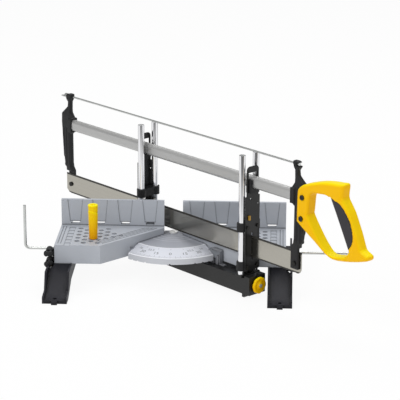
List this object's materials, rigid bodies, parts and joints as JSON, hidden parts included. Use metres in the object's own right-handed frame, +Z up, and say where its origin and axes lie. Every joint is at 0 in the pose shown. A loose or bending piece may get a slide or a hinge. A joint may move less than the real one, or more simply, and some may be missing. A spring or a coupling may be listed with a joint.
{
  "type": "clamping mitre box with saw",
  "caption": "Mitre box with perforated tables, graduated quadrant, swinging arm on guide posts and a tensioned frame saw that slides and lifts to cut at set angles.",
  "frame": {"origin": "centre of the four bench screw holes, on the bench plane", "axes": "+X along the fences to the right, +Y towards the back, +Z up"},
  "size_m": [0.5359, 0.5071, 0.238],
  "materials": {
    "cast_grey": "satin",
    "ring_grey": "satin",
    "black_plastic": "matte",
    "black_metal": "satin",
    "chrome_steel": "polished",
    "bright_steel": "satin",
    "tube_grey": "satin",
    "blade_steel": "brushed",
    "yellow_plastic": "gloss",
    "black_rubber": "matte",
    "black_screw": "satin"
  },
  "bodies": {
    "bed": {"left_table": "cast_grey", "right_table": "cast_grey", "bridge_plate": "bright_steel", "quadrant": "ring_grey", "bridge_screws": "bright_steel", "quadrant_screws": "bright_steel", "left_leg": "black_plastic", "right_leg": "black_plastic", "leg_screws": "bright_steel", "left_clamp_block": "black_plastic", "right_clamp_block": "black_plastic", "clamp_block_screws": "bright_steel", "pivot_bolt": "bright_steel", "pivot_washer": "bright_steel", "pivot_nut": "bright_steel"},
    "left_leg_screw": {"left_leg_lock": "black_metal"},
    "right_leg_screw": {"right_leg_lock": "black_metal"},
    "left_rod": {"left_stop_rod": "bright_steel"},
    "right_rod": {"right_stop_rod": "bright_steel"},
    "left_rod_screw": {"left_stop_screw": "black_metal"},
    "right_rod_screw": {"right_stop_screw": "black_metal"},
    "peg": {"cam_peg": "yellow_plastic"},
    "arm": {"swing_beam": "black_metal", "front_post_base": "black_metal", "rear_post_base": "black_metal", "front_left_post": "chrome_steel", "front_right_post": "chrome_steel", "rear_left_post": "chrome_steel", "rear_right_post": "chrome_steel", "base_screws": "black_screw", "lock_housing": "black_metal", "housing_screws": "bright_steel", "index_pointer": "bright_steel", "detent_leaf": "bright_steel"},
    "knob": {"lock_knob": "yellow_plastic", "lock_stud": "bright_steel", "knob_screw": "bright_steel"},
    "shoe": {"lock_shoe": "bright_steel"},
    "front_carriage": {"front_guide_plate": "black_metal", "front_upper_collar": "black_plastic", "front_lower_collar": "black_plastic", "front_tube_guide": "black_plastic", "front_guide_screws": "black_screw"},
    "rear_carriage": {"rear_guide_plate": "black_metal", "rear_upper_collar": "black_plastic", "rear_lower_collar": "black_plastic", "rear_tube_guide": "black_plastic", "rear_guide_screws": "black_screw"},
    "latch": {"lift_latch": "yellow_plastic"},
    "saw": {"blade": "blade_steel", "back_tube": "tube_grey", "front_bracket": "black_plastic", "rear_bracket": "black_plastic", "blade_screws": "black_screw", "tension_rod": "bright_steel", "handle": "yellow_plastic", "grip_insert": "black_rubber", "handle_screws": "black_screw"},
    "nut": {"wing_nut": "bright_steel"}
  },
  "joints": [
    {"name": "arm_turn", "type": "hinge", "parent": "bed", "child": "arm", "pos_m": [0, 0.05, 0.035], "axis": [0, 0, 1], "range_deg": [-90, 0]},
    {"name": "saw_lift", "type": "slide", "parent": "arm", "child": "front_carriage", "axis": [0, 0, 1], "range_m": [0, 0.095]},
    {"name": "rear_lift", "type": "slide", "parent": "arm", "child": "rear_carriage", "axis": [0, 0, 1], "range_m": [0, 0.095]},
    {"name": "saw_stroke", "type": "slide", "parent": "front_carriage", "child": "saw", "axis": [0.7071, -0.7071, 0], "range_m": [-0.07, 0.165]},
    {"name": "knob_turn", "type": "hinge", "parent": "arm", "child": "knob", "pos_m": [0.13859, -0.08859, 0.022], "axis": [0.7071, -0.7071, 0], "range_deg": [0, 360]},
    {"name": "shoe_slide", "type": "slide", "parent": "arm", "child": "shoe", "axis": [-0.7071, 0.7071, 0], "range_m": [0, 0.001]},
    {"name": "latch_turn", "type": "hinge", "parent": "front_carriage", "child": "latch", "pos_m": [0.12233, -0.08364, 0.1285], "axis": [0.7071, -0.7071, 0], "range_deg": [0, 40]},
    {"name": "nut_turn", "type": "hinge", "parent": "saw", "child": "nut", "pos_m": [-0.19092, 0.24092, 0.2333], "axis": [0.7071, -0.7071, 0], "range_deg": [0, 360]},
    {"name": "left_leg_screw_turn", "type": "hinge", "parent": "bed", "child": "left_leg_screw", "pos_m": [-0.189, -0.045, 0.0386], "axis": [0, 1, 0], "range_deg": [0, 270]},
    {"name": "right_leg_screw_turn", "type": "hinge", "parent": "bed", "child": "right_leg_screw", "pos_m": [0.189, -0.045, 0.0386], "axis": [0, 1, 0], "range_deg": [0, 270]},
    {"name": "left_rod_screw_turn", "type": "hinge", "parent": "bed", "child": "left_rod_screw", "pos_m": [-0.189, -0.045, 0.055], "axis": [0, 1, 0], "range_deg": [0, 270]},
    {"name": "right_rod_screw_turn", "type": "hinge", "parent": "bed", "child": "right_rod_screw", "pos_m": [0.189, -0.045, 0.055], "axis": [0, 1, 0], "range_deg": [0, 270]},
    {"name": "left_rod_slide", "type": "slide", "parent": "bed", "child": "left_rod", "axis": [1, 0, 0], "range_m": [-0.056, 0.012]},
    {"name": "right_rod_slide", "type": "slide", "parent": "bed", "child": "right_rod", "axis": [1, 0, 0], "range_m": [-0.068, 0]},
    {"name": "peg_turn", "type": "hinge", "parent": "bed", "child": "peg", "pos_m": [-0.1248, -0.015, 0.064], "axis": [0, 0, 1], "continuous": true}
  ],
  "couplings": [
    {"joint": "rear_lift", "follows": "saw_lift", "ratio": 1},
    {"joint": "shoe_slide", "follows": "knob_turn", "m_per_rad": 0.000159}
  ]
}
